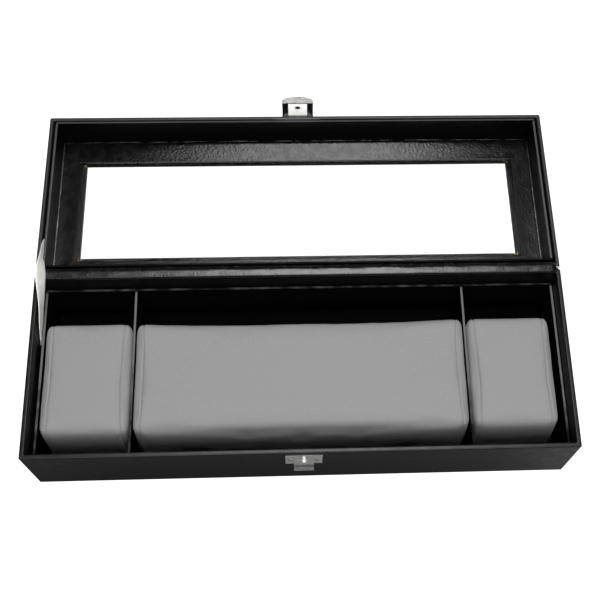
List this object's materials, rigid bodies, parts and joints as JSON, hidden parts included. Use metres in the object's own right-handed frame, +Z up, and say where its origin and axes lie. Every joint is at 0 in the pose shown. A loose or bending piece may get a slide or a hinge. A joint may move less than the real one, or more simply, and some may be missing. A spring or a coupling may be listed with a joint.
{
  "type": "watch box",
  "caption": "Long leathercloth watch box with suede pillows in a divided tray, a hinged lid with a glass window, a front hasp and a ribbon.",
  "frame": {"origin": "centre of the underside of the box, where it stands", "axes": "+X to the right along the box, -Y to the front with the catch, +Z up"},
  "size_m": [0.3, 0.2249, 0.0614],
  "materials": {
    "board": "matte",
    "black_leathercloth": "satin",
    "black_liner": "satin",
    "black_tray_board": "matte",
    "black_felt": "matte",
    "grey_suede": "matte",
    "foam": "matte",
    "clear_glass": "polished",
    "bright_nickel": "polished",
    "steel_rod": "satin",
    "pale_ribbon": "satin"
  },
  "bodies": {
    "base": {"base_wall_front": "board", "base_wall_back": "board", "base_wall_left": "board", "base_wall_right": "board", "base_floor": "board", "base_leather": "black_leathercloth", "base_felt": "black_felt", "tray_floor": "black_tray_board", "tray_wall_front": "black_tray_board", "tray_wall_back": "black_tray_board", "tray_wall_left": "black_tray_board", "tray_wall_right": "black_tray_board", "divider_left": "black_tray_board", "divider_right": "black_tray_board", "hinge_rod": "steel_rod", "hinge_strip": "black_leathercloth", "lid_ribbon": "pale_ribbon", "catch_plate": "bright_nickel", "catch_stud": "bright_nickel", "catch_rivets": "bright_nickel"},
    "lid": {"lid_wall_front": "board", "lid_wall_back": "board", "lid_wall_left": "board", "lid_wall_right": "board", "lid_panel": "board", "lid_leather": "black_leathercloth", "window_glass": "clear_glass", "liner_panel": "black_liner", "liner_wall_front": "black_liner", "liner_wall_back": "black_liner", "liner_wall_left": "black_liner", "liner_wall_right": "black_liner", "hasp_bracket": "bright_nickel", "bracket_rivets": "bright_nickel", "hasp_pin": "bright_nickel"},
    "hasp": {"hasp_shell": "bright_nickel", "hasp_spring": "bright_nickel"},
    "pillow_left": {"pillow_cover_left": "grey_suede", "pillow_core_left": "foam"},
    "pillow_long": {"pillow_cover_long": "grey_suede", "pillow_core_long": "foam"},
    "pillow_right": {"pillow_cover_right": "grey_suede", "pillow_core_right": "foam"}
  },
  "joints": [
    {"name": "lid_hinge", "type": "hinge", "parent": "base", "child": "lid", "pos_m": [0, 0.05385, 0.0496], "axis": [-1, 0, 0], "range_deg": [-182, 0], "deforming": ["hinge_strip", "lid_ribbon"]},
    {"name": "hasp_hinge", "type": "hinge", "parent": "lid", "child": "hasp", "pos_m": [0, 0.16328, 0.03997], "axis": [-1, 0, 0], "range_deg": [0, 95]},
    {"name": "pillow_left_lift", "type": "slide", "parent": "base", "child": "pillow_left", "axis": [0, 0, 1], "range_m": [0, 0.06]},
    {"name": "pillow_long_lift", "type": "slide", "parent": "base", "child": "pillow_long", "axis": [0, 0, 1], "range_m": [0, 0.06]},
    {"name": "pillow_right_lift", "type": "slide", "parent": "base", "child": "pillow_right", "axis": [0, 0, 1], "range_m": [0, 0.06]}
  ]
}
